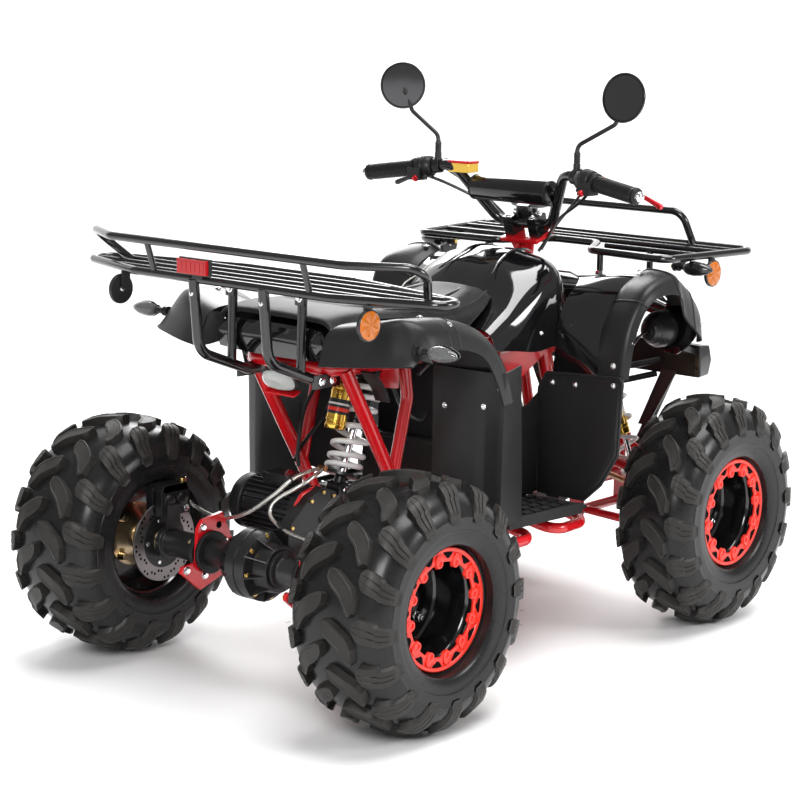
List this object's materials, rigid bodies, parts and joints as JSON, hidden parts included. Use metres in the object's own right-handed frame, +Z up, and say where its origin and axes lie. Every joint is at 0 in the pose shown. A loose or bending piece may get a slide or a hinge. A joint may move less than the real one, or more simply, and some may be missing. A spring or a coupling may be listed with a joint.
{
  "type": "quad bike",
  "caption": "Black and red electric utility quad bike with knobby tyres, tube frame, single rear shock, racks front and rear and high handlebar.",
  "frame": {"origin": "on the ground under the middle of the vehicle's bounding box", "axes": "+X forward, +Y to the rider's left, +Z up"},
  "size_m": [1.455, 0.972, 1.1522],
  "materials": {
    "tyre_rubber": "matte moulded tyre rubber",
    "black_rubber": "soft matte rubber",
    "rim_black": "gloss black paint",
    "frame_red": "gloss red powder coat",
    "zinc": "zinc plated steel with a faint yellow tint",
    "black_steel": "satin black powder coat",
    "grey_steel": "dark grey paint",
    "black_alloy": "black painted cast alloy",
    "gold_alloy": "gold anodised aluminium",
    "motor_alloy": "dark finned alloy",
    "gloss_plastic": "gloss black moulded plastic",
    "matte_plastic": "matt grained dark plastic",
    "seat_vinyl": "matt black grained vinyl",
    "spring_white": "white powder coated spring steel",
    "mirror_glass": "silvered mirror",
    "reflector_amber": "clear moulded amber and red reflectors",
    "lamp_clear": "clear lamp lens in black housing",
    "display_grey": "grey plastic display",
    "hose_braid": "braided steel hose"
  },
  "bodies": {
    "chassis": {"frame": "frame_red", "front_arms": "frame_red", "rear_shock": "gold_alloy", "rear_spring": "spring_white", "front_shocks": "gold_alloy", "front_springs": "spring_white", "swing_frame": "frame_red", "axle_housing": "grey_steel", "gear_case": "black_alloy", "motor": "motor_alloy", "rear_calipers": "black_alloy", "battery_box": "matte_plastic", "rear_fender": "gloss_plastic", "seat": "seat_vinyl", "tank_cover": "gloss_plastic", "rear_flares": "matte_plastic", "inner_mudguards": "matte_plastic", "front_flares": "matte_plastic", "front_fender": "gloss_plastic", "leg_shields": "matte_plastic", "footboards": "black_steel", "front_bumper": "black_steel", "front_rack": "black_steel", "rear_rack": "black_steel", "headlights": "lamp_clear", "reflectors": "reflector_amber", "turn_signals": "lamp_clear", "brake_hoses": "hose_braid"},
    "steering": {"steering_column": "frame_red", "handlebar": "black_steel", "bar_pad": "black_rubber", "display": "display_grey", "grips": "black_rubber", "controls": "matte_plastic", "levers": "frame_red", "mirrors": "mirror_glass"},
    "knuckle_left": {"knuckle_left": "black_steel"},
    "knuckle_right": {"knuckle_right": "black_steel"},
    "tie_rod_left": {"tie_rod_left": "zinc"},
    "tie_rod_right": {"tie_rod_right": "zinc"},
    "wheel_rear_left": {"tyre_rear_left": "tyre_rubber", "rim_rear_left": "rim_black", "bead_ring_rear_left": "frame_red", "hub_rear_left": "zinc"},
    "wheel_rear_right": {"tyre_rear_right": "tyre_rubber", "rim_rear_right": "rim_black", "bead_ring_rear_right": "frame_red", "hub_rear_right": "zinc"},
    "wheel_front_left": {"tyre_front_left": "tyre_rubber", "rim_front_left": "rim_black", "bead_ring_front_left": "frame_red", "hub_front_left": "zinc"},
    "wheel_front_right": {"tyre_front_right": "tyre_rubber", "rim_front_right": "rim_black", "bead_ring_front_right": "frame_red", "hub_front_right": "zinc"}
  },
  "joints": [
    {"name": "steering_hinge", "type": "hinge", "parent": "chassis", "child": "steering", "pos_m": [0.2975, 0, 0.812], "axis": [-0.3273, 0, 0.9449], "range_deg": [-30, 30]},
    {"name": "kingpin_left", "type": "hinge", "parent": "chassis", "child": "knuckle_left", "pos_m": [0.4875, 0.262, 0.24], "axis": [0, 0, 1], "range_deg": [-30, 30]},
    {"name": "tie_rod_pivot_left", "type": "hinge", "parent": "knuckle_left", "child": "tie_rod_left", "pos_m": [0.4195, 0.268, 0.269], "axis": [0, 0, 1], "range_deg": [-32, 32]},
    {"name": "front_axle_left", "type": "hinge", "parent": "knuckle_left", "child": "wheel_front_left", "pos_m": [0.4875, 0.358, 0.24], "axis": [0, 1, 0], "continuous": true},
    {"name": "rear_axle_left", "type": "hinge", "parent": "chassis", "child": "wheel_rear_left", "pos_m": [-0.4925, 0.374, 0.235], "axis": [0, 1, 0], "continuous": true},
    {"name": "kingpin_right", "type": "hinge", "parent": "chassis", "child": "knuckle_right", "pos_m": [0.4875, -0.262, 0.24], "axis": [0, 0, 1], "range_deg": [-30, 30]},
    {"name": "tie_rod_pivot_right", "type": "hinge", "parent": "knuckle_right", "child": "tie_rod_right", "pos_m": [0.4195, -0.268, 0.269], "axis": [0, 0, 1], "range_deg": [-32, 32]},
    {"name": "front_axle_right", "type": "hinge", "parent": "knuckle_right", "child": "wheel_front_right", "pos_m": [0.4875, -0.358, 0.24], "axis": [0, 1, 0], "continuous": true},
    {"name": "rear_axle_right", "type": "hinge", "parent": "chassis", "child": "wheel_rear_right", "pos_m": [-0.4925, -0.374, 0.235], "axis": [0, 1, 0], "continuous": true}
  ],
  "couplings": [
    {"joint": "kingpin_left", "follows": "steering_hinge", "ratio": 1},
    {"joint": "tie_rod_pivot_left", "follows": "steering_hinge", "ratio": -1},
    {"joint": "kingpin_right", "follows": "steering_hinge", "ratio": 1},
    {"joint": "tie_rod_pivot_right", "follows": "steering_hinge", "ratio": -1}
  ]
}
